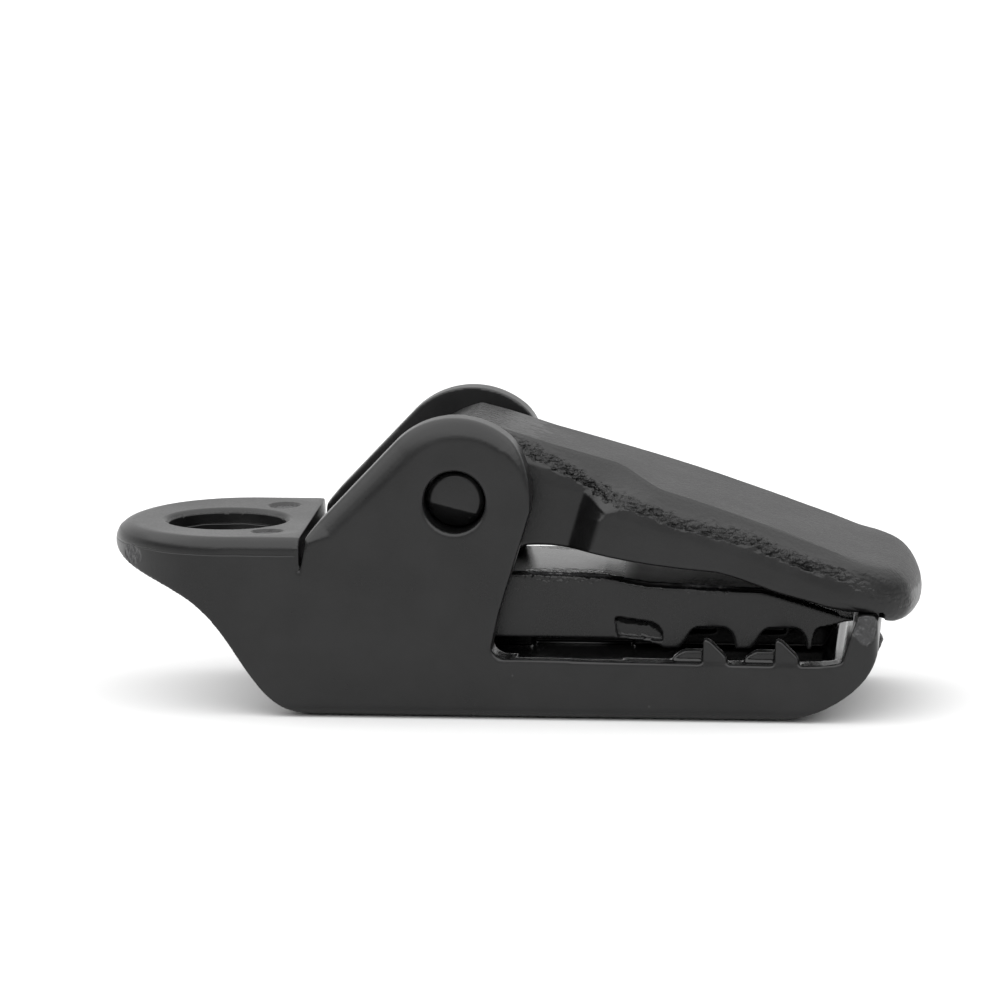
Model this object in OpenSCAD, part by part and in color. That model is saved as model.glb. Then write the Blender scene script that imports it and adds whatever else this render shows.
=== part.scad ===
// Tarp clip: a base with tail ring and cheeks, a toothed upper jaw and a snap-in cam lever.
// +X points from the tail ring to the jaw tip, +Z is up and Z 0 is the floor. Millimetres.

/* [Overall] */
// Length from the tail tip to the lever tip
total_len = 32; // [30:0.5:34]
// Width across the outside of the two cheeks
body_w = 10; // [9.5:0.1:11]
// Height of the cheeks above the floor
cheek_h = 11.85; // [11.6:0.05:12.2]

/* [Tail] */
// Hole for the cord or hook
tail_hole_d = 4.7; // [4:0.1:5.2]
// Level of the flat top of the tail plate
plate_top = 7.1; // [6.95:0.05:7.2]
// Thickness of the plate around the hole
plate_t = 2; // [1.6:0.1:2.4]
// Thickness of the two gussets under the plate
gusset_t = 1.4; // [1:0.1:1.8]
// Rounding of the top edge along the sides
plate_round = 0.42; // [0.3:0.02:0.5]
// Width of the relief slit between plate and cheek
slit_w = 0.28; // [0.2:0.02:0.4]

/* [Cheeks] */
// Wall thickness of each cheek
cheek_t = 1.5; // [1.3:0.05:1.6]
// Rounding of the outer edge of each cheek
cheek_round = 0.66; // [0.5:0.02:0.7]
// How much further that rounding runs over the face than across the wall
cheek_blend = 0.8; // [0:0.1:1]
// Bore that takes a trunnion of the lever
pivot_bore_d = 2.42; // [2.3:0.02:2.6]
// Lead-in chamfer on the outside of that bore
pivot_chamfer = 0.1; // [0.06:0.01:0.14]

/* [Lower jaw] */
// Level of the rim that the teeth stand on
rim_top = 2.4; // [2.3:0.05:2.45]
// Level of the tray floor between the rims
tray_floor = 1.3; // [1.1:0.1:1.5]
// Thickness of the toothed rim
rim_t = 1.15; // [0.9:0.05:1.3]
// How far the rim dips in front of the lip
rim_dip = 0.12; // [0:0.02:0.2]
// Height of a rim tooth
low_tooth_h = 0.9; // [0.6:0.05:0.95]
// Thickness of a rim tooth
low_tooth_t = 0.6; // [0.4:0.05:0.8]

/* [Upper jaw] */
// Level of the flat back that the cam runs on
jaw_top = 5.55; // [5.45:0.05:5.6]
// Diameter of the heel bar
heel_d = 1.8; // [1.6:0.05:1.9]
// Height of the raised track over the shoulder beside it
track_h = 0.14; // [0.08:0.02:0.2]
// Width of that shoulder
shoulder_w = 0.25; // [0.15:0.05:0.4]
// Depth of an upper tooth
up_tooth_h = 0.86; // [0.7:0.02:0.9]
// Distance from tooth to tooth
tooth_pitch = 2.8; // [2.75:0.01:2.85]

/* [Lever] */
// Rounding of the long top edges
lever_round = 0.95; // [0.6:0.05:1.1]
// Crease along the top edges, from none at 0 to a chamfer at 1
lever_crease = 0.45; // [0:0.05:0.6]
// Rounding of the tip as seen from above
tip_round = 2.6; // [2.2:0.1:2.8]
// Wall left over the pocket in the underside
lever_skin = 1.25; // [1:0.05:1.4]
// Distance from the lever's side to the end of a trunnion
trunnion_len = 1.2; // [0.9:0.05:1.35]

/* [Fits] */
// Radial clearance of a trunnion in its bore
pivot_clear = 0.09; // [0.06:0.01:0.1]
// Radial clearance of the heel bar in its seat
heel_clear = 0.05; // [0.03:0.01:0.08]
// Clearance of the lever to each cheek
lever_side = 0.2; // [0.12:0.02:0.3]
// Clearance of the upper jaw to each cheek
jaw_side = 0.3; // [0.2:0.02:0.4]
// Gap left between cam and jaw back
cam_clear = 0.05; // [0.03:0.01:0.08]
// Gap between the closed lever and the front of the jaw
rest_clear = 0.07; // [0.05:0.01:0.1]

/* [Motion] */
// Opening angle of the lever
lever_open = 110; // [95:5:115]
// Degrees the jaw rises for each degree of the lever
jaw_ratio = 0.08; // [0.06:0.005:0.08]

/* [Hidden] */
$fn = 48;
half_w = body_w / 2;
gap_w = body_w - 2 * cheek_t;
lever_half = gap_w / 2 - lever_side;
jaw_half = gap_w / 2 - jaw_side;
tray_half = half_w - rim_t;
long = total_len / 32;
tail_x = -total_len / 2;
tip_x = total_len / 2;
hole_x = tail_x + 4.42;
plan_r = half_w + 0.015;
slit_x = -8.28 * long;
lead_x = slit_x + slit_w;
slit_z = plate_top - 1.38;
pivot_x = -2.1 * long;
// What lies above the jaw's back keeps its share of the height of the cheeks
tall = (cheek_h - jaw_top) / 6.3;
pivot_z = jaw_top + 3.05 * tall;
cheek_r = cheek_h - pivot_z;
heel_x = -6.4 * long;
heel_z = 4.1;
heel_r = heel_d / 2;
seat_r = heel_r + heel_clear;
block_x = heel_x + 0.55 * seat_r;
trunnion_r = pivot_bore_d / 2 - pivot_clear;
lip_x = 13 * long;
front_x = 14.4 * long;
lip_top = 4.3;
trough_z = 3.5;
join_x = tail_x + 9;
floor_round = 0.45;
// Pieces are this much too wide before their sides are trimmed flat
trim = 0.01;
up_teeth = [for (i = [0:2]) (5.94 + i * tooth_pitch) * long];
low_teeth = [for (i = [0:1]) (7.5 + i * tooth_pitch) * long];
notch_z = rim_top + 0.2 + up_tooth_h;
tip_z = notch_z - up_tooth_h;
nose_x = up_teeth[2] + 0.56 * long;

// Level of a point of the lever, drawn for cheeks that rise 6.3 above the jaw's back
function up(z) = z > jaw_top ? jaw_top + (z - jaw_top) * tall : z;
function up_all(pts) = [for (p = pts) [p[0], up(p[1])]];
// Points on a round, angles in degrees
function arc(cx, cz, r, a0, a1, n) =
    [for (i = [0:n]) let (a = a0 + (a1 - a0) * i / n) [cx + r * cos(a), cz + r * sin(a)]];
// Points on a smooth curve through four control points
function curve(a, b, c, d, n) =
    [for (i = [0:n]) let (t = i / n, s = 1 - t)
        s * s * s * a + 3 * s * s * t * b + 3 * s * t * t * c + t * t * t * d];
// Gives each point of a list the same edge rounding
function soft(pts, r) = [for (p = pts) [p[0], p[1], r]];
// Gives each point of a list a rounding that runs from one value to another
function soften(pts, r0, r1) =
    [for (i = [0:len(pts) - 1]) [pts[i][0], pts[i][1], r0 + (r1 - r0) * i / max(1, len(pts) - 1)]];
// Direction into the outline at one point, for points that run anticlockwise
function inward(pts, i) =
    let (n = len(pts), a = pts[(i + n - 1) % n], b = pts[(i + 1) % n])
    let (dx = b[0] - a[0], dz = b[1] - a[1], l = norm([dx, dz]))
    [-dz / l, dx / l];
// Sine step from 0 to 1 between two values
function ease(v, a, b) = let (t = min(1, max(0, (v - a) / (b - a)))) t * t * (3 - 2 * t);

// Closed skin over rings of equal length, with a point in the middle of the first and last ring
module skin(rings, mid_first, mid_last) {
    n = len(rings[0]);
    m = len(rings);
    pts = concat([for (r = rings) for (p = r) p], [mid_first, mid_last]);
    sides = [for (j = [0:m - 2]) for (i = [0:n - 1]) let (k = (i + 1) % n)
        each [[j * n + i, j * n + k, (j + 1) * n + k], [j * n + i, (j + 1) * n + k, (j + 1) * n + i]]];
    first = [for (i = [0:n - 1]) [m * n, (i + 1) % n, i]];
    last = [for (i = [0:n - 1]) [m * n + 1, (m - 1) * n + i, (m - 1) * n + (i + 1) % n]];
    polyhedron(points = pts, faces = concat(sides, first, last), convexity = 8);
}

// Wall between two distances from the middle plane, its outer edge rounded, on the far side
module soft_wall(pts, mid, y_in, y_out, steps) {
    n = len(pts);
    dirs = [for (i = [0:n - 1]) inward(pts, i)];
    rings = [for (j = [0:steps]) let (a = 90 * j / steps) [for (i = [0:n - 1])
        let (p = pts[i], s = p[2] * (1 + cheek_blend * ease(p[2], 0.2, 0.6)) * (1 - cos(a)))
        [p[0] + dirs[i][0] * s, y_out - p[2] * (1 - sin(a)), p[1] + dirs[i][1] * s]]];
    inner = [for (p = pts) [p[0], y_in, p[1]]];
    skin(concat([inner], rings), [mid[0], y_in, mid[1]], [mid[0], y_out, mid[1]]);
}

// Plain extrusion of a side outline over a width
module across(half) {
    translate([0, half, 0])
        rotate([90, 0, 0])
            linear_extrude(height = 2 * half)
                children();
}

// Round bar or bore along the width
module bar(x, z, r, half) {
    translate([x, half, z])
        rotate([90, 0, 0])
            cylinder(r = r, h = 2 * half);
}

// Angle at which a line from a point touches the round top of a cheek
function touch(px, pz, side) =
    let (dx = px - pivot_x, dz = pz - pivot_z, l = norm([dx, dz]))
    atan2(dz, dx) + side * acos(cheek_r / l);

// Underside of the tail from the nose down to the floor
function tail_under() = concat(
    curve([tail_x - 0.02, 6.3], [tail_x + 0.4, 5.52], [tail_x + 2, 5.42], [tail_x + 3.4, 4.56], 14),
    curve([tail_x + 3.55, 4.46], [tail_x + 4.76, 3.6], [tail_x + 5.2, 2.42], [tail_x + 6.05, 1.36], 12),
    curve([tail_x + 6.2, 1.17], [tail_x + 6.78, 0.47], [tail_x + 7.45, 0.02], [tail_x + 8.9, 0], 12));

// Side outline of a cheek with its edge rounding, sunk into the body below
function cheek_outline() =
    let (foot = [-0.68 * long, rim_top + 0.8], lead_z = plate_top)
    let (side = [pivot_x + cheek_r - 0.29, pivot_z - 0.35])
    let (a_out = 50, a_in = touch(lead_x, lead_z, -1) + 360)
    let (q_in = arc(pivot_x, pivot_z, cheek_r, a_in, a_in, 1)[0])
    let (q_out = arc(pivot_x, pivot_z, cheek_r, a_out, a_out, 1)[0])
    let (bend = curve(side, side + [0.1, 1], q_out + 0.85 * [sin(a_out), -cos(a_out)], q_out, 10))
    concat(
        [[lead_x - 0.2, 0.8, 0.15], [foot[0] + 0.95, 0.8, 0.15], [foot[0] + 0.68, rim_top - 0.04, 0.15]],
        soft(arc(foot[0] + 0.55, rim_top + 0.56, 0.55, 258, 192, 4), 0.15),
        [for (t = [0.2, 0.6]) [foot[0] * (1 - t) + side[0] * t, foot[1] * (1 - t) + side[1] * t, 0.15]],
        soften([for (i = [0:9]) bend[i]], 0.15, 0.45),
        soften(arc(pivot_x, pivot_z, cheek_r, a_out, a_in, 36), 0.5, cheek_round),
        [for (t = [0.42, 0.84]) [q_in[0] * (1 - t) + lead_x * t, q_in[1] * (1 - t) + lead_z * t,
            cheek_round * (1 - t) + 0.55 * t]],
        [[lead_x + 0.03, lead_z - 0.05, 0.3], [lead_x - 0.02, lead_z - 0.5, 0.15]],
        [[lead_x - 0.2, slit_z, 0.15]]);

// Side outline of the lower jaw with its lip, and of the heel block
function low_outline() = concat(
    [[join_x, 0]],
    curve([9.8 * long, 0], [12.2 * long, 0], [front_x - 0.18, 1.45], [front_x, 2.9], 20),
    arc(front_x - 0.35, lip_top - 0.35, 0.35, 0, 90, 5),
    arc(lip_x + 0.75, lip_top - 0.2, 0.2, 90, 164, 4),
    [[lip_x + 0.03, rim_top + 0.1], [lip_x - 0.07, rim_top], [lip_x - 0.6, rim_top - 0.7 * rim_dip],
        [11.4 * long, rim_top - rim_dip], [7 * long, rim_top - 0.7 * rim_dip], [1 * long, rim_top],
        [block_x + 0.2, rim_top], [block_x + 0.2, slit_z], [join_x, slit_z]]);

// Plan outline of the tail, with a wider rounding at the nose
function tail_plan() = concat(
    [[join_x + 0.3, -plan_r, plate_round]],
    [for (i = [0:60]) let (a = 270 - 180 * i / 60)
        [tail_x + plan_r + plan_r * cos(a), plan_r * sin(a), plate_round + 0.4 * pow(max(0, -cos(a)), 2)]],
    [[join_x + 0.3, plan_r, plate_round]]);

module tail_blank(steps) {
    pts = tail_plan();
    n = len(pts);
    back = [for (i = [0:n - 1]) pts[n - 1 - i]];
    dirs = [for (i = [0:n - 1]) (i == 0 || i == n - 1) ? [0, back[i][1] > 0 ? -1 : 1] : inward(back, i)];
    rings = concat(
        [[for (p = back) [p[0], p[1], -0.5]]],
        [for (j = [0:steps]) let (a = 90 * j / steps) [for (i = [0:n - 1])
            let (r = back[i][2], s = r * (1 - cos(a)), drop = max(r, 1.4 * plate_round) * (1 - sin(a)))
            [back[i][0] + dirs[i][0] * s, back[i][1] + dirs[i][1] * s, plate_top - drop]]]);
    mid = tail_x + plan_r + 1;
    skin([for (r = rings) [for (i = [n - 1:-1:0]) r[i]]], [mid, 0, -0.5], [mid, 0, plate_top]);
}

module tail() {
    intersection() {
        tail_blank(8);
        soft_floor();
        across(half_w + 1)
            polygon(concat(
                [[tail_x - 1, 9], [tail_x - 1, 6.3]],
                tail_under(),
                [[join_x + 0.2, 0], [join_x + 0.2, slit_z], [slit_x, slit_z], [slit_x, 9]]));
    }
}

// Space between the gussets under the tail plate
module tail_pocket() {
    across(half_w - gusset_t)
        polygon([[tail_x - 1, plate_top - plate_t], [tail_x - 1, -1], [slit_x + 0.1, -1],
            [slit_x - 0.2, 1.6], [slit_x - 0.8, plate_top - plate_t - 0.5],
            [slit_x - 1.3, plate_top - plate_t]]);
}

// Bar along the length whose two bottom edges are rounded
module soft_floor() {
    rotate([90, 0, 90])
        translate([0, 0, -20])
            linear_extrude(height = 40) {
                translate([floor_round - half_w - trim, 0])
                    square([body_w + 2 * trim - 2 * floor_round, 8]);
                translate([-half_w - trim, floor_round])
                    square([body_w + 2 * trim, 8]);
                for (s = [-1, 1])
                    translate([s * (half_w + trim - floor_round), floor_round])
                        circle(r = floor_round);
            }
}

// Lower jaw: side outline, rounded bottom edges and rounded front corners in one
module low_jaw() {
    corner = 0.6;
    intersection() {
        across(half_w + 1)
            polygon(low_outline());
        soft_floor();
        translate([0, 0, -1])
            linear_extrude(height = 10) {
                translate([-20, -half_w - 0.5])
                    square([20 + front_x - corner, body_w + 1]);
                translate([-20, -half_w + corner])
                    square([20 + front_x + 1, body_w - 2 * corner]);
                for (s = [-1, 1])
                    translate([front_x - corner, s * (half_w + trim - corner)])
                        circle(r = corner);
            }
    }
}

// Space between the rims, down to the tray floor, with a ramp up to the lip
module tray() {
    across(half_w - 0.7)
        polygon([[0.3 * long, tray_floor], [4.4 * long, tray_floor],
            [4.4 * long, rim_top + 1], [0.3 * long, rim_top + 1]]);
    across(tray_half)
        polygon([[1.5 * long, tray_floor], [lip_x - 0.95, tray_floor], [lip_x + 0.25, trough_z - 0.2],
            [lip_x + 0.3, trough_z + 0.3], [1.5 * long, trough_z + 0.3]]);
}

// Space between the cheeks, over the heel block and in front of it
module well() {
    across(gap_w / 2)
        polygon([[slit_x + 0.1, 14], [slit_x + 0.1, slit_z - 0.03], [block_x, slit_z - 0.03],
            [block_x, tray_floor], [2 * long, tray_floor], [2 * long, 14]]);
}

// Low heel behind a rim tooth, on the inner side of the rim
module tooth_heel(x) {
    polygon([[x - 1.1, rim_top - 0.4], [x - 1.1, rim_top + 0.08], [x - 0.7, rim_top + 0.33],
        [x + 0.15, rim_top + 0.33], [x + 0.15, rim_top - 0.4]]);
}

module rim_tooth(x) {
    top = rim_top + low_tooth_h;
    polygon([[x + 0.04, rim_top - 0.4], [x + 0.1, top - 0.08], [x + 0.18, top], [x + 0.27, top - 0.02],
        [x + 0.43, top - 0.12], [x + 0.92, rim_top + 0.3], [x + 1.02, rim_top + 0.12],
        [x + 1.06, rim_top - 0.4]]);
}

module base_blank() {
    difference() {
        union() {
            tail();
            low_jaw();
        }
        tail_pocket();
        tray();
    }
    soft_wall(cheek_outline(), [pivot_x - 1, 4], gap_w / 2 - 2 * trim, half_w + 2 * trim, 7);
    mirror([0, 1, 0])
        soft_wall(cheek_outline(), [pivot_x - 1, 4], gap_w / 2 - 2 * trim, half_w + 2 * trim, 7);
    for (s = [-1, 1], x = low_teeth) {
        translate([0, s * (half_w - 0.03 - low_tooth_t / 2), 0])
            across(low_tooth_t / 2)
                rim_tooth(x);
        translate([0, s * (half_w - low_tooth_t - 0.3), 0])
            across(0.32)
                tooth_heel(x);
    }
}

module base() {
    color([0.13, 0.13, 0.14])
    difference() {
        intersection() {
            base_blank();
            translate([-20, -half_w, -1])
                cube([40, body_w, 20]);
        }
        well();
        // cord hole, heel seat, trunnion bores with their chamfers
        translate([hole_x, 0, plate_top - plate_t - 2])
            cylinder(d = tail_hole_d, h = plate_t + 4);
        bar(heel_x, heel_z, seat_r, gap_w / 2);
        bar(pivot_x, pivot_z, pivot_bore_d / 2, half_w + 1);
        for (s = [0, 180])
            translate([pivot_x, 0, pivot_z])
                rotate([90, 0, s])
                    translate([0, 0, half_w - pivot_chamfer])
                        cylinder(r1 = pivot_bore_d / 2, r2 = pivot_bore_d / 2 + 2 * pivot_chamfer,
                            h = 2 * pivot_chamfer);
        // trough in the lip that the lever tip drops into
        across(gap_w / 2 + 0.1)
            polygon([[lip_x - 0.2, trough_z], [lip_x + 3, trough_z], [lip_x + 3, 6], [lip_x - 0.2, 6]]);
    }
}

// Upper side of the upper jaw from the cam's track to the beak
function jaw_back() = [
    [-0.9 * long, jaw_top], [1 * long, jaw_top], [3.6 * long, jaw_top - 0.06], [5.4 * long, 5.2],
    [9.85 * long, 5], [10.3 * long, 4.9], [12.75 * long, 4.05], [13.05 * long, 3.96], [13.42 * long, 3.88]];
// Point of the shoulder below a point of the track, nearly as high as the track at the beak
function shoulder(p) =
    let (share = 0.6 + 0.4 * ease(p[0], 1 * long, 6 * long) - 0.7 * ease(p[0], 10.3 * long, lip_x))
    [p[0], p[1] - track_h * share];
// Rounded gap between two upper teeth, from the tip of one to the tip of the next
function jaw_notch(a, b) = concat(
    curve([a + 0.5, tip_z], [a + 0.97, tip_z + 0.04], [a + 0.88, notch_z], [a + 1.5, notch_z], 9),
    curve([b - 0.62, notch_z], [b - 0.1, notch_z], [b, tip_z + 0.55], [b + 0.04, tip_z], 8));
// Underside of the upper jaw from the heel to the tip of the beak
function jaw_under() =
    let (flat = tip_z + 0.36, last = up_teeth[2])
    concat(
        [[block_x + 1.15, flat]],
        curve([4.2 * long, flat], [5 * long, flat - 0.03], [5.7 * long, flat - 0.1],
            [up_teeth[0] + 0.04, tip_z], 6),
        jaw_notch(up_teeth[0], up_teeth[1]),
        jaw_notch(up_teeth[1], last),
        curve([last + 0.2, tip_z], [last + 0.3, tip_z + 0.3], [last + 0.25, notch_z],
            [nose_x, notch_z + 0.03], 6),
        [[12.5 * long, 3.57], [13 * long, 3.72], [13.42 * long, 3.78]]);

module upper_jaw() {
    root_x = block_x + 0.4;
    color([0.17, 0.17, 0.18]) {
        bar(heel_x, heel_z, heel_r, jaw_half);
        difference() {
            union() {
                across(jaw_half)
                    polygon(concat(
                        [[heel_x, heel_z - 0.46], [root_x, heel_z - 0.46]],
                        jaw_under(),
                        [for (i = [len(jaw_back()) - 1:-1:0]) shoulder(jaw_back()[i])],
                        [shoulder([root_x, jaw_top]), [root_x, heel_z + 0.46], [heel_x, heel_z + 0.46]]));
                // raised track for the cam
                across(jaw_half - shoulder_w)
                    polygon(concat(
                        [[root_x + 0.3, 4.6], [root_x + 0.3, jaw_top]],
                        [for (i = [0:6]) jaw_back()[i]],
                        [[12.75 * long, 3.85], [10.3 * long, 4.4]]));
            }
            // scoop in each side behind the first tooth, deepest along its upper edge
            for (s = [-1, 1])
                translate([0, s * jaw_half, notch_z - 0.66])
                    rotate([s * 21, 0, 0])
                        translate([0, s, 0])
                            across(1)
                                polygon([[4.3 * long, -0.5], [4.04 * long, 0.97], [4.5 * long, 0.92],
                                    [5.5 * long, 0.79], [5.78 * long, 0.64], [5.93 * long, 0.4],
                                    [6.02 * long, -0.5]]);
            // hollow between the two rows of teeth
            across(jaw_half - 1.15)
                polygon([[up_teeth[0] + 0.5, 0], [up_teeth[0] + 0.5, 3.95], [9.9 * long, 3.85],
                    [nose_x - 0.35, 3.5], [nose_x - 0.35, 0]]);
        }
    }
}

// Distance from the pivot to the jaw's back when the jaw has risen by an angle
function jaw_dist(a) =
    -(pivot_x - heel_x) * sin(a) + (pivot_z - heel_z) * cos(a) - (jaw_top - heel_z);
// Reach of the cam towards the jaw's back at a lever angle
function cam_reach(t) = jaw_dist(jaw_ratio * t) - cam_clear;
function cam_point(t) =
    let (b = t * (1 - jaw_ratio), h = cam_reach(t))
    let (k = (cam_reach(t + 1) - cam_reach(t - 1)) / (2 * (1 - jaw_ratio)) * 180 / PI)
    [pivot_x - h * sin(b) - k * cos(b), pivot_z - h * cos(b) + k * sin(b)];

// Side outline of the closed lever with its edge rounding
function lever_outline() =
    let (root_r = cam_reach(lever_open) - 0.02, top_r = cheek_r - 0.37, a_top = 80)
    let (rise = [for (p = [[10.3, 4.9], [12.75, 4.05]]) [p[0] * long, p[1] + rest_clear + 0.04]])
    let (mid_rise = [11.6 * long, rise[0][1] * 0.47 + rise[1][1] * 0.53])
    let (neck = curve(cam_point(-2), [pivot_x + 1.1, jaw_top + 0.14], [0.1 * long, up(6.46)],
        [0.6 * long, up(6.62)], 6))
    let (under = curve([1 * long, 6.64], [2.9 * long, 6.68], [3 * long, 6.02], [8.1 * long, 5.61], 10))
    let (chin = curve([tip_x - 1.4, 3.7], [tip_x - 0.6, 3.55], [tip_x - 0.05, 3.9], [tip_x, 4.5], 6))
    let (brow = curve([tip_x - 0.01, 4.7], [tip_x - 0.05, 5.25], [tip_x - 0.42, 5.76], [tip_x - 1, 6.01], 6))
    let (front = curve([14.6 * long, 6.18], [13.4 * long, 6.68], [11 * long, 7.6], [9.2 * long, 8.21], 8))
    let (back = curve([8.7 * long, 8.38], [6.4 * long, 9.19], [4 * long, 9.85], [1.4 * long, 10.56], 8))
    concat(
        soft([for (i = [0:14]) cam_point(lever_open + 4 - (lever_open + 4) * i / 14)], 0.15),
        soft(neck, 0.15),
        soft(up_all(under), 0.15),
        soft([rise[0], mid_rise, rise[1]], 0.15),
        soft([[13.6 * long, 3.86], [14.2 * long, 3.74]], 0.15),
        soften(chin, 0.2, 0.45),
        soften(up_all(brow), 0.5, 0.6),
        soften(up_all(front), 0.65, lever_round),
        soft(up_all(back), lever_round),
        soften(up_all([[0.5 * long, 10.85], [-0.4 * long, 11.13]]), lever_round, 0.9),
        soften([for (i = [0:11]) let (t = i / 11, a = a_top + (164 - a_top) * t,
                r = root_r + (top_r - root_r) * pow(1 - t, 3.5))
            [pivot_x + r * cos(a), pivot_z + r * sin(a)]], 0.85, 0.2));

// Lever body: rings across the width, with soft edges and a tip that is round from above
module lever_body() {
    pts = lever_outline();
    n = len(pts);
    dirs = [for (i = [0:n - 1]) inward(pts, i)];
    out = lever_half + trim;
    levels = [for (j = [0:12]) out - tip_round * (1 - sin(7.5 * j))];
    ring = [for (y = levels) let (t = tip_round - sqrt(max(0, pow(tip_round, 2)
            - pow(max(0, y - out + tip_round), 2)))) [for (i = [0:n - 1])
        let (p = pts[i], d = max(0, y - out + p[2]), w = ease(p[0], 8 * long, tip_x))
        let (c = lever_crease * (1 - ease(p[0], 12.5 * long, tip_x - 1)))
        let (e = c * d + (1 - c) * (p[2] - sqrt(max(0, p[2] * p[2] - d * d))))
        [p[0] + dirs[i][0] * e - 0.94 * w * t, y, p[1] + dirs[i][1] * e + 0.34 * w * t]]];
    near = [for (j = [12:-1:0]) [for (p = ring[j]) [p[0], -p[1], p[2]]]];
    mid = [7 * long, up(7.2)];
    intersection() {
        skin(concat(near, ring), [mid[0], -out, mid[1]], [mid[0], out, mid[1]]);
        translate([-20, -lever_half, 0])
            cube([40, 2 * lever_half, 20]);
    }
}

// One trunnion, bevelled below so that it snaps in between the cheeks
module trunnion() {
    difference() {
        translate([0, 0, lever_half - 0.6])
            cylinder(r = trunnion_r, h = trunnion_len + 0.6);
        rotate([0, 0, -14])
            translate([-3, -0.3, lever_half + trunnion_len])
                rotate([40, 0, 0])
                    translate([0, -4, 0])
                        cube([6, 4, 3]);
    }
}

module lever() {
    color([0.1, 0.1, 0.11]) {
        difference() {
            lever_body();
            // pocket in the underside
            across(lever_half - 1.25)
                polygon([[2.6 * long, 3], [2.6 * long, up(10.1) - lever_skin],
                    [4.4 * long, up(9.55) - lever_skin], [9.1 * long, up(8) - lever_skin],
                    [11.9 * long, up(6.95) - lever_skin], [11.9 * long, 3]]);
            // slanting groove in each side of the web, deepest along its rear edge
            for (s = [-1, 1])
                translate([3.8 * long, s * (lever_half - 0.06), 0])
                    rotate([0, 0, s * 14])
                        translate([-3.8 * long, s, 0])
                            across(1)
                                polygon(up_all([[2.2 * long, 6.8], [3.42 * long, 6.83],
                                    [3.83 * long, 8.29], [2.77 * long, 8.71]]));
        }
        translate([pivot_x, 0, pivot_z]) {
            rotate([90, 0, 0])
                trunnion();
            mirror([0, 1, 0])
                rotate([90, 0, 0])
                    trunnion();
        }
    }
}

base();
upper_jaw();
lever();
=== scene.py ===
"""Looks of the tarp clip: moulded skins over the three CAD nodes, their plastics, and the studio."""
import math

import bmesh
import bpy
import numpy as np
from mathutils import Matrix, Vector, noise


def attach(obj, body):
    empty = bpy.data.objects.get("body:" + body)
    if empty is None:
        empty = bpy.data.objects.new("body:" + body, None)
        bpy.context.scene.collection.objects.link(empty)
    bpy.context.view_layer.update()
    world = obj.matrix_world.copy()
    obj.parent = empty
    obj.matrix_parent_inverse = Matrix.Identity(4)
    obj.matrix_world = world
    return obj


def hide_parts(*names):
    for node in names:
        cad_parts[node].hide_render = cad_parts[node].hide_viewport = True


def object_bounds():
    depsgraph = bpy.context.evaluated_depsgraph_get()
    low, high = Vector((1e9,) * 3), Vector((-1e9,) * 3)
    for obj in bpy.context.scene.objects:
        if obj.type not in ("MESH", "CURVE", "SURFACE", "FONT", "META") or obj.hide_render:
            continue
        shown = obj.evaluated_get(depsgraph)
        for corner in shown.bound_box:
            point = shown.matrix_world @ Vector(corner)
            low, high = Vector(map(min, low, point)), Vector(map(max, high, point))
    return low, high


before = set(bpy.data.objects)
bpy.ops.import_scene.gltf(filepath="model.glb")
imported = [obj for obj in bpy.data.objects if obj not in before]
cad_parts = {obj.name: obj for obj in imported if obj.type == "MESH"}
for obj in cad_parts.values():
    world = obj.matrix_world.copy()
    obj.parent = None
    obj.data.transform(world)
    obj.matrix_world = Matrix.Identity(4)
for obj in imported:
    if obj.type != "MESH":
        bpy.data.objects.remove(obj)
cad_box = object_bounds()

MM = 0.001
scene = bpy.context.scene

# Sizes and places are in millimetres. Skins: fine grid, rounds of smoothing, triangles that are kept
BASE_GRID = 0.07
JAW_GRID = 0.06
LEVER_GRID = 0.045
RELAX_ROUNDS = 3
BASE_TRIANGLES = 180000
JAW_TRIANGLES = 90000
LEVER_TRIANGLES = 190000

# Base: places that the solid has
SIDE = 5.0
PLATE_TOP = 7.1
PLATE_UNDER = 4.9
PLATE_HOLE = (-11.58, 0.0)
PLATE_HOLE_RADIUS = 2.35
SLIT_X = -8.28
LIP_FRONT = 13.6
# Base: soft forms
DISH_DEPTH = 0.12
DISH_RADIUS = 4.7
HOLE_SOFT = 0.24
HOLE_FALL = 3.0
SLIT_NARROWED = 0.1
BOTTOM_ROUND = 0.55
# Base: marks of the mould. A patch has a middle and its reach along the three axes
PARTING_Z = 6.42
EJECTOR_MARKS = [(-9.65, -3.03), (-9.65, 3.03)]
EJECTOR_RADIUS = 0.6
EJECTOR_DEPTH = 0.1
LIP_GATE = (14.36, 0.0, 2.3)
LIP_GATE_REACH = (1.0, 0.55, 0.46)
LIP_GATE_OUT = 0.2
LIP_PATCH = (13.95, -5.0, 3.78), (0.55, 0.5, 0.66)
TAIL_PATCH = (-15.0, -3.0, 6.08), (0.62, 0.75, 0.4)

# Lever: places that the solid has, with the groove in its side where the real lever turns out to the paddle
LEVER_HALF = 3.3
LEVER_ROUND = 0.95
LEVER_SLOPE_COSINE = 0.94
PIVOT = (-2.1, 8.6)
TRUNNION_RADIUS = 1.12
GROOVE = [(2.05, 6.73), (3.5, 6.73), (3.95, 8.4), (2.7, 8.85)]
GROOVE_FLOOR = 2.3
# Lever: the paddle stands out beside the narrow root, is flatter, and clears the lip.
# The web turns out along a leaning line, and the crease above it turns out later
PADDLE_OUT = 1.55
PADDLE_SQUEEZE = 0.273
PADDLE_LEAN = 0.29
PADDLE_LEAN_LEVEL = 7.5
WEB_TURN = (2.4, 3.6)
CREASE_LATER = (0.85, 2.0)
LIP_CLEAR_Z = 4.37
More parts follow.
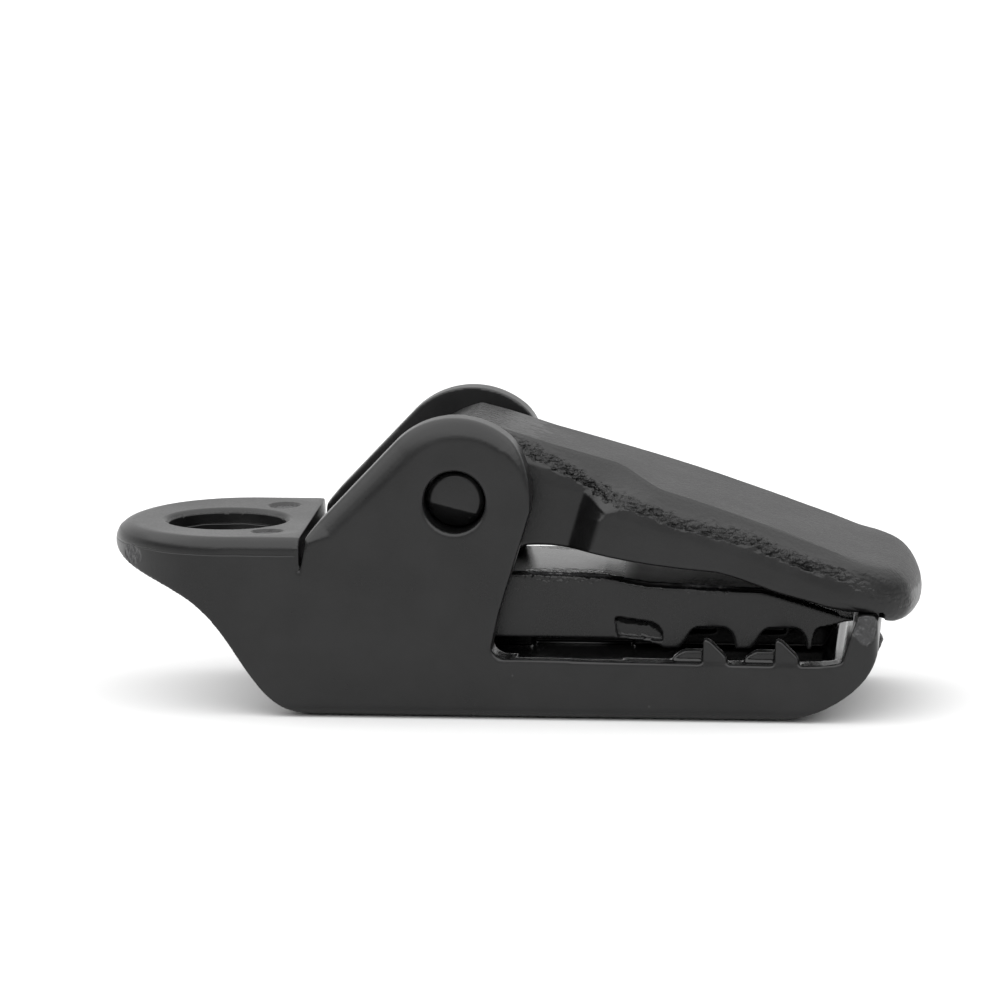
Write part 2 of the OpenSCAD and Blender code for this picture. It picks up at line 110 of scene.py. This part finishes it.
# Lever: lower edge of the grain, as distance along the clip and level, and the pebbles along it
GRAIN_START = 10.45
GRAIN_EDGE = [(0.74, 10.11), (2.7, 9.15), (3.6, 8.62), (5.08, 8.2), (6.92, 7.55),
              (9.23, 6.99), (11.53, 6.11), (13.0, 5.6), (14.2, 5.0), (16.0, 4.2)]
PEBBLE_HEIGHT = 0.1
PEBBLES_PER_MM = (3.4, 4.2, 5.6)

# Jaw: scoop in each side, and scuffed patches on its back, mirrored
SCOOP_TOP = 4.0
SCOOP_X = (4.0, 6.1)
SCOOP_Y = (2.7, 3.17)
TRACK_SCUFFS = [((2.2, 2.9, 5.5), (1.9, 0.9, 0.4)), ((7.7, 2.7, 5.1), (1.3, 1.2, 0.4))]

# Plastics
DARKER_BLACK = (0.003, 0.003, 0.0031, 1)
PALER_BLACK = (0.006, 0.006, 0.0062, 1)
RUBBED_BLACK = (0.03, 0.03, 0.0305, 1)
TORN_BLACK = (0.03, 0.03, 0.031, 1)
SPECK_GREY = (0.02, 0.02, 0.02, 1)
SPECULAR_LEVEL = 0.37

# Studio: floor, and the strength of the surroundings
FLOOR_HALF = 1500
FLOOR_WHITE = (0.62, 0.62, 0.62, 1)
FRONT_WALL = 0.2
BACK_WALL = 0.85
OVERHEAD = 2.7
OVERHEAD_BEHIND = 0.35

# Camera: angles in degrees and framing, found from the plate's hole, the pivot and the outline
CAMERA_TARGET = (0, 0, 6)
CAMERA_DISTANCE = 250
CAMERA_AZIMUTH = 4.4426
CAMERA_ELEVATION = 10.07
CAMERA_ROLL = -0.1308
CAMERA_LENS = 226.67
CAMERA_SHIFT = (-0.01733, 0.04627)


def step(value, low, high):
    """Smooth step from 0 to 1 between two values, for arrays."""
    t = np.clip((value - low) / (high - low), 0, 1)
    return t * t * (3 - 2 * t)


def baked(obj):
    """Plain mesh of an object with its modifiers, which are then removed."""
    mesh = bpy.data.meshes.new_from_object(obj.evaluated_get(bpy.context.evaluated_depsgraph_get()))
    obj.modifiers.clear()
    obj.data = mesh
    return obj


def add_relax(obj, name):
    """Gives an object a modifier that smooths its skin a little."""
    relax = obj.modifiers.new(name, "SMOOTH")
    relax.factor = 0.5
    relax.iterations = RELAX_ROUNDS


def plug(bm, outline, inner, outer):
    """Adds a closed block with a side outline to each side of a mesh."""
    for side in (-1, 1):
        near, far = ([bm.verts.new((x * MM, side * y * MM, z * MM)) for x, z in outline]
                     for y in (inner, outer))
        faces = [bm.faces.new(near), bm.faces.new(far)]
        for i in range(len(outline)):
            faces.append(bm.faces.new((near[i], near[i - 1], far[i - 1], far[i])))
        bmesh.ops.recalc_face_normals(bm, faces=faces)


def dense_skin(node, name, grid, plugs=()):
    """Closed fine skin of a CAD node, with its sharp edges broken by a small round."""
    bm = bmesh.new()
    bm.from_mesh(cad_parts[node].data)
    bmesh.ops.remove_doubles(bm, verts=bm.verts, dist=1e-7)
    for outline, inner, outer in plugs:
        plug(bm, outline, inner, outer)
    mesh = bpy.data.meshes.new(name)
    bm.to_mesh(mesh)
    bm.free()
    obj = bpy.data.objects.new(name, mesh)
    scene.collection.objects.link(obj)
    remesh = obj.modifiers.new("fine skin", "REMESH")
    remesh.mode = "VOXEL"
    remesh.voxel_size = grid * MM
    add_relax(obj, "broken edges")
    return baked(obj)


def points_of(obj):
    """Vertices of an object in millimetres, and their normals."""
    count = len(obj.data.vertices)
    places = np.empty(count * 3)
    obj.data.vertices.foreach_get("co", places)
    normals = np.empty(count * 3)
    obj.data.vertex_normals.foreach_get("vector", normals)
    return places.reshape(-1, 3) / MM, normals.reshape(-1, 3)


def put_back(obj, places):
    """Gives an object's vertices new places, kept inside the box of the CAD solids."""
    low, high = (np.array(corner) for corner in cad_box)
    obj.data.vertices.foreach_set("co", np.clip(places * MM, low, high).ravel())
    obj.data.update()


def crumple(places, rows, size):
    """Uneven heights from -1 to 1 for some of the points, with lumps of a given size."""
    heights = np.zeros(len(places))
    for row in np.flatnonzero(rows):
        heights[row] = noise.noise(Vector(places[row] / size))
    return heights


def thin_out(obj, triangles):
    """Fewer triangles where the skin is flat, and smooth shading."""
    obj.data.calc_loop_triangles()
    fewer = obj.modifiers.new("thin out", "DECIMATE")
    fewer.ratio = min(1.0, triangles / len(obj.data.loop_triangles))
    baked(obj)
    obj.data.shade_smooth()


def rub_edges(obj):
    """Writes how sharply the skin falls away on all sides of a point as the attribute edge_rub."""
    places, normals = points_of(obj)
    size = len(places)
    ends = np.empty(len(obj.data.edges) * 2, dtype=np.int32)
    obj.data.edges.foreach_get("vertices", ends)
    a, b = ends.reshape(-1, 2).T
    count = np.maximum(np.bincount(np.concatenate([a, b]), minlength=size), 1)

    def gathered(at_a, at_b):
        return (np.bincount(a, at_a, size) + np.bincount(b, at_b, size)) / count

    span = places[b] - places[a]
    length = np.maximum(np.linalg.norm(span, axis=1), 1e-6)
    rub = -gathered((span * normals[a]).sum(1) / length, -(span * normals[b]).sum(1) / length)
    for _ in range(RELAX_ROUNDS):
        rub = 0.5 * rub + 0.5 * gathered(rub[b], rub[a])
    edge_rub = obj.data.attributes.new("edge_rub", "FLOAT", "POINT")
    edge_rub.data.foreach_set("value", step(rub, 0.06, 0.3))


def mould_marks(x, y, z, places, normals):
    """Heights along the normals for the ejector marks, the torn gate on the lip and two rough patches."""
    heights = np.zeros(len(places))
    for mark_x, mark_y in EJECTOR_MARKS:
        away = np.hypot(x - mark_x, y - mark_y)
        inside = (z > PLATE_TOP - 0.1) & (normals[:, 2] > 0.5) & (away < EJECTOR_RADIUS + 0.1)
        depth = EJECTOR_DEPTH - 0.05 * crumple(places, inside, 0.16)
        heights -= inside * depth * (1 - step(away, EJECTOR_RADIUS - 0.04, EJECTOR_RADIUS + 0.03))
    off = (places - LIP_GATE) / LIP_GATE_REACH
    away = np.hypot(off[:, 1], off[:, 2])
    inside = (x > LIP_FRONT) & (normals[:, 0] > 0.3) & (away < 1.1)
    heights += inside * (LIP_GATE_OUT + 0.07 * crumple(places, inside, 0.2)) * (1 - step(away, 0.55, 1.0))
    for middle, reach in (LIP_PATCH, TAIL_PATCH):
        away = np.linalg.norm((places - middle) / reach, axis=1)
        inside = away < 1.1
        torn = 0.07 * crumple(places, inside, 0.15) + 0.05 * crumple(places, inside, 0.31) - 0.03
        heights += inside * torn * (1 - step(away, 0.6, 1.05))
    return heights


def sculpt_base(obj):
    """Dished plate, soft hole and bottom edges, a narrower slit behind the plate, and the mould's marks."""
    places, normals = points_of(obj)
    x, y, z = places.T.copy()
    from_hole = np.hypot(x - PLATE_HOLE[0], y - PLATE_HOLE[1])
    on_plate = (z > PLATE_TOP - 0.3) & (normals[:, 2] > 0.3) & (x < SLIT_X - 0.05)
    places[:, 2] -= on_plate * DISH_DEPTH * np.clip(1 - (from_hole / DISH_RADIUS) ** 2, 0, 1)
    soft = np.clip(PLATE_HOLE_RADIUS + HOLE_SOFT - from_hole, 0, HOLE_SOFT)
    places[:, 2] -= (x < SLIT_X) * HOLE_FALL * soft ** 2 * step(z, PLATE_TOP - 0.5, PLATE_TOP - 0.05)
    slit_wall = (np.abs(x - SLIT_X) < 0.15) & (normals[:, 0] > 0.4) & (z > PLATE_UNDER)
    places[:, 0] += SLIT_NARROWED * slit_wall
    under = np.clip(BOTTOM_ROUND - z, 0, BOTTOM_ROUND)
    arc = BOTTOM_ROUND - np.sqrt(np.maximum(0, BOTTOM_ROUND ** 2 - under ** 2))
    places[:, 1] *= 1 - arc / SIDE
    put_back(obj, places + normals * mould_marks(x, y, z, places, normals)[:, None])


def depth_below_top(x, y, z, normals):
    """How far each point of the lever lies below its top, square to the sloping top."""
    middle_line = (np.abs(y) < 0.15) & (normals[:, 2] > 0.6)
    stations = np.linspace(-0.5, 15.0, 63)
    level = np.array([np.median(z[middle_line & (np.abs(x - at) < 0.2)]) for at in stations])
    return (np.interp(x, stations, level) - z) * LEVER_SLOPE_COSINE


def sculpt_lever(obj):
    """Chamfered long edges, the wide paddle in front of the narrow root, and broken rims on the trunnions."""
    places, normals = points_of(obj)
    x, y, z = places.T.copy()
    below = depth_below_top(x, y, z, normals)

    # The solid's round edge becomes a chamfer that runs out softly into the web
    over_edge = np.linspace(0, LEVER_ROUND, 200)
    arc = LEVER_ROUND - np.sqrt(np.maximum(0, LEVER_ROUND ** 2 - over_edge ** 2))
    round_edge = 0.45 * over_edge + 0.55 * arc
    fall = np.linspace(0, 1.5, 301)
    lean = 1.16 - 1.04 * step(fall, 0.5, 1.0) - 0.12 * step(fall, 1.2, 1.5)
    chamfer = np.cumsum(lean) * LEVER_ROUND / lean.sum()
    shift = np.interp(below, fall, chamfer) - np.interp(below, round_edge, over_edge)
    shift *= step(x, -0.3, 0.9) * (1 - step(x, 12.0, 14.5)) * (below > 0) * (np.abs(y) > 2.2)
    places[:, 1] += np.sign(y) * shift

    # Paddle
    rise = np.clip((1.3 - below) / 1.1, 0, 1)
    turn_from, turn_to = (web + later * rise for web, later in zip(WEB_TURN, CREASE_LATER))
    paddle = step(x - PADDLE_LEAN * (z - PADDLE_LEAN_LEVEL), turn_from, turn_to)
    places[:, 1] += np.sign(y) * PADDLE_OUT * paddle * step(np.abs(y), 0.8, 2.2)
    squeeze = PADDLE_SQUEEZE * paddle * (1 - step(x, 13.2, 15.6))
    places[:, 2] += squeeze * (1 - 2 * np.clip((2.2 - below) / 0.8, 0, 1))
    low_edge = step(below, 1.5, 1.9)
    places[:, 2] -= low_edge * 0.12 * step(x, 8.5, 10.3) * (1 - step(x, 10.3, 12.4))
    over_lip = (np.abs(places[:, 1]) > 3.2) & (x > 12.7) & (x < 14.6)
    places[:, 2] = np.where(over_lip, np.maximum(places[:, 2], LIP_CLEAR_Z), places[:, 2])

    # Trunnions
    from_pivot = np.hypot(x - PIVOT[0], z - PIVOT[1])
    rim = np.clip(from_pivot - TRUNNION_RADIUS + 0.16, 0, 0.2) * (from_pivot < TRUNNION_RADIUS + 0.05)
    places[:, 1] -= np.sign(y) * 0.8 * rim * step(np.abs(y), 4.0, 4.4)
    put_back(obj, places)
    add_relax(obj, "even skin")
    baked(obj)


def pebble_lever(obj):
    """Pebbles on the lever's sides, along the wavy lower edge of the grain."""
    places, normals = points_of(obj)
    x, z = places[:, 0], places[:, 2]
    edge_x, edge_z = np.array(GRAIN_EDGE).T
    over = z - np.interp(x, edge_x, edge_z)
    strip = step(over, -0.12, 0.05) * (1 - step(over, 0.3, 0.55)) * step(x, -0.5, 0.3)
    strip *= (np.abs(normals[:, 1]) > 0.2) * (1 - step(x, 11.8, 13.8))
    height = np.zeros(len(places))
    for row in np.flatnonzero(strip > 0.01):
        at = Vector(places[row] * PEBBLES_PER_MM)
        height[row] = 0.5 - noise.voronoi(at)[0][0] + 0.35 * noise.noise(at * 0.7)
    put_back(obj, places + normals * (PEBBLE_HEIGHT * strip * height)[:, None])


def sculpt_jaw(obj):
    """A track that falls off a little towards its edges, and a steeper floor in each scoop."""
    places, normals = points_of(obj)
    x, y, z = places.T.copy()
    out = np.abs(y)
    on_track = (normals[:, 2] > 0.4) & (z > 4.5)
    places[:, 2] -= on_track * 0.01 * np.clip(out - 2.0, 0, 1.2) * step(x, 3.4, 4.4)
    on_floor = (x > SCOOP_X[0]) & (x < SCOOP_X[1]) & (out > SCOOP_Y[0]) & (out < SCOOP_Y[1])
    on_floor &= (normals[:, 2] > 0.15) & (z < SCOOP_TOP)
    floor_y = np.sign(y) * (3.12 - 0.75 * np.clip(SCOOP_TOP - z, 0, 0.35))
    places[:, 1] = np.where(on_floor, floor_y, y)
    put_back(obj, places)


base = dense_skin("base", "base_moulding", BASE_GRID)
jaw = dense_skin("upper_jaw", "jaw_moulding", JAW_GRID)
lever = dense_skin("lever", "lever_moulding", LEVER_GRID, [(GROOVE, GROOVE_FLOOR, LEVER_HALF)])
sculpt_base(base)
sculpt_lever(lever)
pebble_lever(lever)
sculpt_jaw(jaw)
for moulding, triangles in ((base, BASE_TRIANGLES), (jaw, JAW_TRIANGLES), (lever, LEVER_TRIANGLES)):
    thin_out(moulding, triangles)
    rub_edges(moulding)


def shader_group(name, inputs, outputs):
    """Empty node group with named sockets, and its two ends."""
    tree = bpy.data.node_groups.new(name, "ShaderNodeTree")
    for label, kind in inputs:
        tree.interface.new_socket(label, in_out="INPUT", socket_type=kind)
    for label, kind in outputs:
        tree.interface.new_socket(label, in_out="OUTPUT", socket_type=kind)
    return tree, tree.nodes.new("NodeGroupInput").outputs, tree.nodes.new("NodeGroupOutput").inputs


def add(tree, kind, settings=None, **sockets):
    """New node with settings, and sockets set or linked. A socket named i0, i1 and so on goes by its place."""
    new = tree.nodes.new(kind)
    for key, value in (settings or {}).items():
        setattr(new, key, value)
    for key, value in sockets.items():
        place = int(key[1:]) if key[0] == "i" and key[1:].isdigit() else key.replace("_", " ")
        if isinstance(value, bpy.types.NodeSocket):
            tree.links.new(value, new.inputs[place])
        else:
            new.inputs[place].default_value = value
    return new


def sums(tree, operation, a, b=0.0, c=0.0):
    """Result of one sum on values or sockets."""
    return add(tree, "ShaderNodeMath", {"operation": operation}, i0=a, i1=b, i2=c).outputs[0]


def vector_sums(tree, operation, a, b):
    """Result of one sum on vectors."""
    return add(tree, "ShaderNodeVectorMath", {"operation": operation}, i0=a, i1=b).outputs[0]


def spread(tree, value, low, high, to_low, to_high):
    """A value carried smoothly from one span to another."""
    mapped = add(tree, "ShaderNodeMapRange", {"interpolation_type": "SMOOTHSTEP"},
                 Value=value, From_Min=low, From_Max=high, To_Min=to_low, To_Max=to_high)
    return mapped.outputs["Result"]


def cloud(tree, place, scale, detail, roughness=0.5):
    """Noise over a place."""
    made = add(tree, "ShaderNodeTexNoise", Vector=place, Scale=scale, Detail=detail, Roughness=roughness)
    return made.outputs["Fac"]


def lumps(tree, place, scale, smoothness):
    """Distance to the middle of soft cells over a place."""
    made = add(tree, "ShaderNodeTexVoronoi", {"feature": "SMOOTH_F1"},
               Vector=place, Scale=scale, Smoothness=smoothness)
    return made.outputs["Distance"]


def scaled(tree, place, scale):
    """A place times a scale on each axis."""
    return add(tree, "ShaderNodeMapping", Vector=place, Scale=scale).outputs["Vector"]


def colour_mix(tree, share, first, second):
    """Colour between two colours by a share from 0 to 1."""
    return add(tree, "ShaderNodeMix", {"data_type": "RGBA"}, i0=share, i6=first, i7=second).outputs[2]


FLOAT = "NodeSocketFloat"
VECTOR = "NodeSocketVector"


def make_satin():
    """Group for a moulded face: fine relief, slow drift of tone and gloss, and small specks."""
    group, given, out = shader_group(
        "moulded_satin", [("Place", VECTOR), ("Fineness", FLOAT)],
        [("Tone", FLOAT), ("Gloss", FLOAT), ("Relief", FLOAT), ("Specks", FLOAT)])
    drift = cloud(group, given["Place"], 0.45, 2.0, 0.55)
    fine = cloud(group, given["Place"], given["Fineness"], 3.0, 0.6)
    dust = add(group, "ShaderNodeTexVoronoi", Vector=given["Place"], Scale=0.5).outputs["Distance"]
    gloss = sums(group, "MULTIPLY_ADD", fine, 0.5, sums(group, "MULTIPLY", drift, 0.5))
    group.links.new(spread(group, drift, 0.3, 0.7, 0.0, 1.0), out["Tone"])
    group.links.new(gloss, out["Gloss"])
    group.links.new(fine, out["Relief"])
    group.links.new(spread(group, dust, 0.015, 0.035, 1.0, 0.0), out["Specks"])
    return group


def make_torn_patch():
    """Group for a rough patch left by the mould: a broken-edged mask round a middle, and torn relief."""
    group, given, out = shader_group(
        "torn_patch", [("Place", VECTOR), ("Middle", VECTOR), ("Reach", VECTOR)],
        [("Mask", FLOAT), ("Relief", FLOAT)])
    offset = vector_sums(group, "SUBTRACT", given["Place"], given["Middle"])
    offset = vector_sums(group, "DIVIDE", offset, given["Reach"])
    away = add(group, "ShaderNodeVectorMath", {"operation": "LENGTH"}, i0=offset).outputs["Value"]
    ragged = cloud(group, given["Place"], 3.2, 2.0)
    torn = lumps(group, given["Place"], 5.5, 0.3)
    edge = sums(group, "MULTIPLY_ADD", ragged, 0.7, sums(group, "SUBTRACT", away, 0.35))
    group.links.new(spread(group, edge, 0.8, 1.0, 1.0, 0.0), out["Mask"])
    group.links.new(sums(group, "MULTIPLY_ADD", torn, -1.4, ragged), out["Relief"])
    return group


satin = make_satin()
torn_patch = make_torn_patch()


def plastic(name):
    """Black plastic with the satin group and rubbed edges. Returns what later nodes link to."""
    material = bpy.data.materials.new(name)
    material.use_nodes = True
    tree = material.node_tree
    shader = tree.nodes["Principled BSDF"]
    shader.inputs["Specular IOR Level"].default_value = SPECULAR_LEVEL
    spot = add(tree, "ShaderNodeTexCoord").outputs["Object"]
    mm = scaled(tree, spot, (1000, 1000, 1000))
    part = add(tree, "ShaderNodeSeparateXYZ", Vector=mm).outputs
    skin = add(tree, "ShaderNodeGroup", {"node_tree": satin}, Place=mm, Fineness=9.0).outputs
    rub = add(tree, "ShaderNodeAttribute", {"attribute_name": "edge_rub"}).outputs["Fac"]
    tone = colour_mix(tree, skin["Tone"], DARKER_BLACK, PALER_BLACK)
    tone = colour_mix(tree, sums(tree, "MULTIPLY", rub, skin["Gloss"]), tone, RUBBED_BLACK)
    tone = colour_mix(tree, skin["Specks"], tone, SPECK_GREY)
    return material, tree, mm, part, skin, tone


def patches(tree, mm, list_of_patches):
    """Joint mask and masked relief of several torn patches."""
    mask, relief = None, None
    for middle, reach in list_of_patches:
        torn = add(tree, "ShaderNodeGroup", {"node_tree": torn_patch},
                   Place=mm, Middle=middle, Reach=reach).outputs
        own = sums(tree, "MULTIPLY", torn["Mask"], torn["Relief"])
        mask = torn["Mask"] if mask is None else sums(tree, "MAXIMUM", mask, torn["Mask"])
        relief = own if relief is None else sums(tree, "ADD", relief, own)
    return mask, relief


def finish(tree, skin, tone, rough, low, high, dull, dull_by, torn=None, torn_height=None):
    """Links colour, roughness and relief. Dull places are rougher by dull_by, torn ones also paler."""
    shader = tree.nodes["Principled BSDF"]
    gloss = spread(tree, skin["Gloss"], 0.3, 0.7, low, high)
    gloss = sums(tree, "MULTIPLY_ADD", dull, dull_by, gloss)
    height = sums(tree, "MULTIPLY_ADD", skin["Specks"], 1.5, skin["Relief"])
    bump = add(tree, "ShaderNodeBump", Height=height, Strength=0.2, Distance=0.02 * MM)
    if rough is not None:
        tree.links.new(rough, bump.inputs["Normal"])
    if torn is not None:
        tone = colour_mix(tree, torn, tone, TORN_BLACK)
        gloss = sums(tree, "MULTIPLY_ADD", torn, 0.08, gloss)
        bump = add(tree, "ShaderNodeBump", Height=torn_height, Strength=0.7, Distance=0.06 * MM,
                   Normal=bump.outputs["Normal"])
    tree.links.new(tone, shader.inputs["Base Color"])
    tree.links.new(gloss, shader.inputs["Roughness"])
    tree.links.new(bump.outputs["Normal"], shader.inputs["Normal"])


def make_body_plastic():
    """Torn gate, lip, tail and ejector marks, the parting line along the tail, and a smoother mouth."""
    material, tree, mm, part, skin, tone = plastic("body_plastic")
    waver = sums(tree, "MULTIPLY_ADD", cloud(tree, mm, 1.3, 1.0), 0.06, PARTING_Z - 0.03)
    from_line = sums(tree, "ABSOLUTE", sums(tree, "SUBTRACT", part["Z"], waver))
    on_tail = spread(tree, part["X"], SLIT_X - 0.2, SLIT_X, 1.0, 0.0)
    seam = sums(tree, "MULTIPLY", spread(tree, from_line, 0.015, 0.045, 1.0, 0.0), on_tail)
    groove = add(tree, "ShaderNodeBump", {"invert": True}, Height=seam, Strength=0.6, Distance=0.04 * MM)
    marks = [((x, y, PLATE_TOP), (0.5, 0.5, 0.3)) for x, y in EJECTOR_MARKS]
    torn, torn_height = patches(tree, mm, [LIP_PATCH, TAIL_PATCH, (LIP_GATE, (0.5, 0.55, 0.5))] + marks)
    low = spread(tree, part["Z"], 2.5, 2.7, 1.0, 0.0)
    ahead = spread(tree, part["X"], -1.5, -1.0, 0.0, 1.0)
    within = spread(tree, sums(tree, "ABSOLUTE", part["Y"]), 4.75, 4.9, 1.0, 0.0)
    mouth = sums(tree, "MULTIPLY", sums(tree, "MULTIPLY", low, ahead), within)
    finish(tree, skin, tone, groove.outputs["Normal"], 0.27, 0.35, mouth, -0.16, torn, torn_height)
    return material


def make_jaw_plastic():
    """A scuffed track on the jaw's back, smooth near the root and worn dull further on."""
    material, tree, mm, part, skin, tone = plastic("jaw_plastic")
    sides = [((x, side * y, z), reach) for side in (-1, 1) for (x, y, z), reach in TRACK_SCUFFS]
    scuff, scuff_height = patches(tree, mm, sides)
    high = spread(tree, part["Z"], 4.95, 5.08, 0.0, 1.0)
    within = spread(tree, sums(tree, "ABSOLUTE", part["Y"]), 3.05, 3.2, 1.0, 0.0)
    on_back = sums(tree, "MULTIPLY", high, within)
    worn = sums(tree, "MULTIPLY", on_back, spread(tree, part["X"], 3.9, 5.0, -0.6, 1.0))
    scuffed = sums(tree, "MULTIPLY", scuff, on_back)
    finish(tree, skin, tone, None, 0.25, 0.33, worn, 0.2, scuffed, scuff_height)
    return material


def make_lever_plastic():
    """Pebbled along a wavy edge on each side, grained and duller on top, smooth on the web below."""
    material, tree, mm, part, skin, tone = plastic("lever_plastic")
    length, tallest = GRAIN_EDGE[-1][0], 12.0
    curve = add(tree, "ShaderNodeFloatCurve", Value=sums(tree, "DIVIDE", part["X"], length))
    line = curve.mapping.curves[0]
    line.points[0].location = (0.0, GRAIN_START / tallest)
    line.points[1].location = (1.0, GRAIN_EDGE[-1][1] / tallest)
    for edge_at, edge_level in GRAIN_EDGE[:-1]:
        line.points.new(edge_at / length, edge_level / tallest)
    curve.mapping.update()
    wobble = sums(tree, "MULTIPLY_ADD", cloud(tree, mm, 2.4, 2.0), 0.5, -0.25)
    edge = sums(tree, "MULTIPLY_ADD", curve.outputs["Value"], tallest, wobble)
    over = sums(tree, "SUBTRACT", part["Z"], edge)
    band = sums(tree, "MULTIPLY", spread(tree, over, -0.06, 0.06, 0.0, 1.0),
                spread(tree, over, 0.3, 0.62, 1.0, 0.0))
    band = sums(tree, "MULTIPLY", band, spread(tree, part["X"], 12.2, 14.2, 1.0, 0.12))
    top = spread(tree, over, 0.62, 0.78, 0.0, 1.0)
    pebbles = lumps(tree, scaled(tree, mm, (3.4, 4.5, 6.4)), 1.0, 0.25)
    grain = cloud(tree, mm, 6.5, 2.0, 0.6)
    pebble_relief = sums(tree, "MULTIPLY", band, sums(tree, "MULTIPLY_ADD", pebbles, -1.2, grain))
    coarse = add(tree, "ShaderNodeBump", Height=pebble_relief, Strength=1.0, Distance=0.2 * MM)
    top_relief = sums(tree, "MULTIPLY", grain, sums(tree, "MULTIPLY_ADD", top, 0.8, 0.2))
    fine_grain = add(tree, "ShaderNodeBump", Height=top_relief, Strength=0.8, Distance=0.05 * MM,
                     Normal=coarse.outputs["Normal"])
    finish(tree, skin, tone, fine_grain.outputs["Normal"], 0.3, 0.4, top, 0.1)
    return material


for piece, material, body, node, slot in (
        (base, make_body_plastic(), "base", "base", "body"),
        (jaw, make_jaw_plastic(), "jaw", "upper_jaw", "jaw"),
        (lever, make_lever_plastic(), "lever", "lever", "lever")):
    piece.data.materials.clear()
    piece.data.materials.append(material)
    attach(piece, body)
    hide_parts(node)


# Studio: white floor
half = FLOOR_HALF * MM
floor_mesh = bpy.data.meshes.new("floor")
floor_corners = [(-half, -half, 0), (half, -half, 0), (half, half, 0), (-half, half, 0)]
floor_mesh.from_pydata(floor_corners, [], [(0, 1, 2, 3)])
floor = bpy.data.objects.new("floor", floor_mesh)
scene.collection.objects.link(floor)
floor_white = bpy.data.materials.new("floor_white")
floor_white.use_nodes = True
floor_inputs = floor_white.node_tree.nodes["Principled BSDF"].inputs
floor_inputs["Base Color"].default_value = FLOOR_WHITE
floor_inputs["Roughness"].default_value = 0.9
floor_inputs["Specular IOR Level"].default_value = 0.2
floor_mesh.materials.append(floor_white)

# Studio: white surroundings that are dim in front, bright overhead and pale behind
world = bpy.data.worlds.new("white_tent")
world.use_nodes = True
scene.world = world
tent = world.node_tree
way = add(tent, "ShaderNodeSeparateXYZ", Vector=add(tent, "ShaderNodeTexCoord").outputs["Generated"]).outputs
walls = spread(tent, way["Y"], -0.7, 0.7, FRONT_WALL, BACK_WALL)
ceiling = spread(tent, sums(tent, "MULTIPLY_ADD", way["Y"], -0.2, way["Z"]), 0.34, 0.54, 0.0, 1.0)
ceiling = sums(tent, "MULTIPLY", ceiling, spread(tent, way["Y"], 0.0, 0.75, 1.0, OVERHEAD_BEHIND))
bright = sums(tent, "MULTIPLY_ADD", ceiling, sums(tent, "SUBTRACT", OVERHEAD, walls), walls)
tent.links.new(bright, tent.nodes["Background"].inputs["Strength"])
tent.nodes["Background"].inputs["Color"].default_value = (1, 1, 1, 1)

# Camera at the photograph's angle
azimuth, elevation, roll = (math.radians(a) for a in (CAMERA_AZIMUTH, CAMERA_ELEVATION, CAMERA_ROLL))
level = math.cos(elevation)
back = Vector((math.sin(azimuth) * level, -math.cos(azimuth) * level, math.sin(elevation)))
lens = bpy.data.cameras.new("camera")
lens.sensor_width = 36
lens.lens = CAMERA_LENS
lens.shift_x, lens.shift_y = CAMERA_SHIFT
lens.clip_start = 0.01
camera = bpy.data.objects.new("camera", lens)
camera.matrix_world = (Matrix.Translation(Vector(CAMERA_TARGET) * MM + back * CAMERA_DISTANCE * MM)
                       @ back.to_track_quat("Z", "Y").to_matrix().to_4x4() @ Matrix.Rotation(roll, 4, "Z"))
scene.collection.objects.link(camera)
scene.camera = camera
scene.view_settings.view_transform = "Standard"
